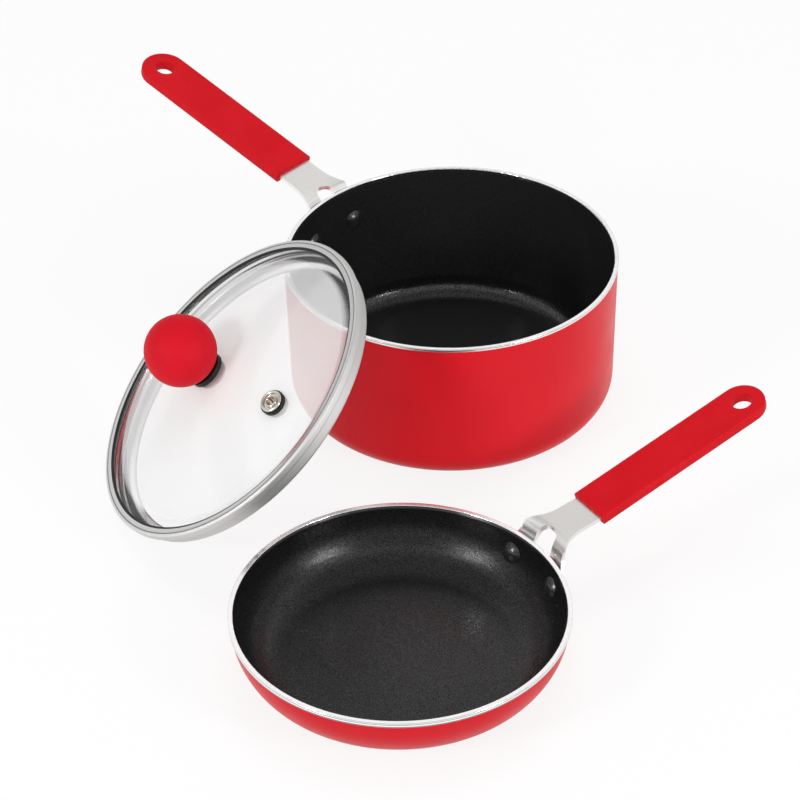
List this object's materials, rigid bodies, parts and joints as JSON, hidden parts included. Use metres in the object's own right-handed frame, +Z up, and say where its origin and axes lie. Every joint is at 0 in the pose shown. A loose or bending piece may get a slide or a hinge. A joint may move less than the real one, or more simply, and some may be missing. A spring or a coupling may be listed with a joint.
{
  "type": "egg cookware set",
  "caption": "Mini egg cookware set: deep saucepan with its domed glass lid leaning on it, and a small frying pan, with forked steel handles in silicone grips",
  "frame": {"origin": "centre of the saucepan's base, on the surface that the set stands on", "axes": "+Z up; +Y away from the viewer of the set; +X to the viewer's right"},
  "size_m": [0.29, 0.3995, 0.1052],
  "materials": {
    "bare_metal": "turned, satin",
    "red_coat": "satin",
    "black_lining": "satin, finely grained",
    "steel": "satin",
    "polished_steel": "polished",
    "red_silicone": "matte",
    "black_rubber": "matte",
    "black_plastic": "matte",
    "clear_glass": "clear, polished",
    "brass": "plain"
  },
  "bodies": {
    "saucepan": {"saucepan_body": "bare_metal", "saucepan_enamel": "red_coat", "saucepan_nonstick": "black_lining", "saucepan_handle": "steel", "saucepan_grip": "red_silicone", "saucepan_rivets": "steel"},
    "fry_pan": {"fry_pan_body": "bare_metal", "fry_pan_enamel": "red_coat", "fry_pan_nonstick": "black_lining", "fry_pan_handle": "steel", "fry_pan_grip": "red_silicone", "fry_pan_rivets": "steel"},
    "lid": {"lid_glass": "clear_glass", "lid_band": "polished_steel", "vent_eyelet": "polished_steel", "vent_gasket": "black_rubber", "vent_washer": "polished_steel", "knob_cover": "red_silicone", "knob_core": "black_plastic", "knob_insert": "brass", "knob_screw": "steel", "knob_washer": "steel", "knob_seal": "black_rubber"}
  },
  "joints": [
    {"name": "lid_lift", "type": "slide", "parent": "saucepan", "child": "lid", "axis": [0, 0, 1], "range_m": [0, 0.12]},
    {"name": "fry_pan_move", "type": "slide", "parent": "saucepan", "child": "fry_pan", "axis": [0, -1, 0], "range_m": [0, 0.12]}
  ]
}
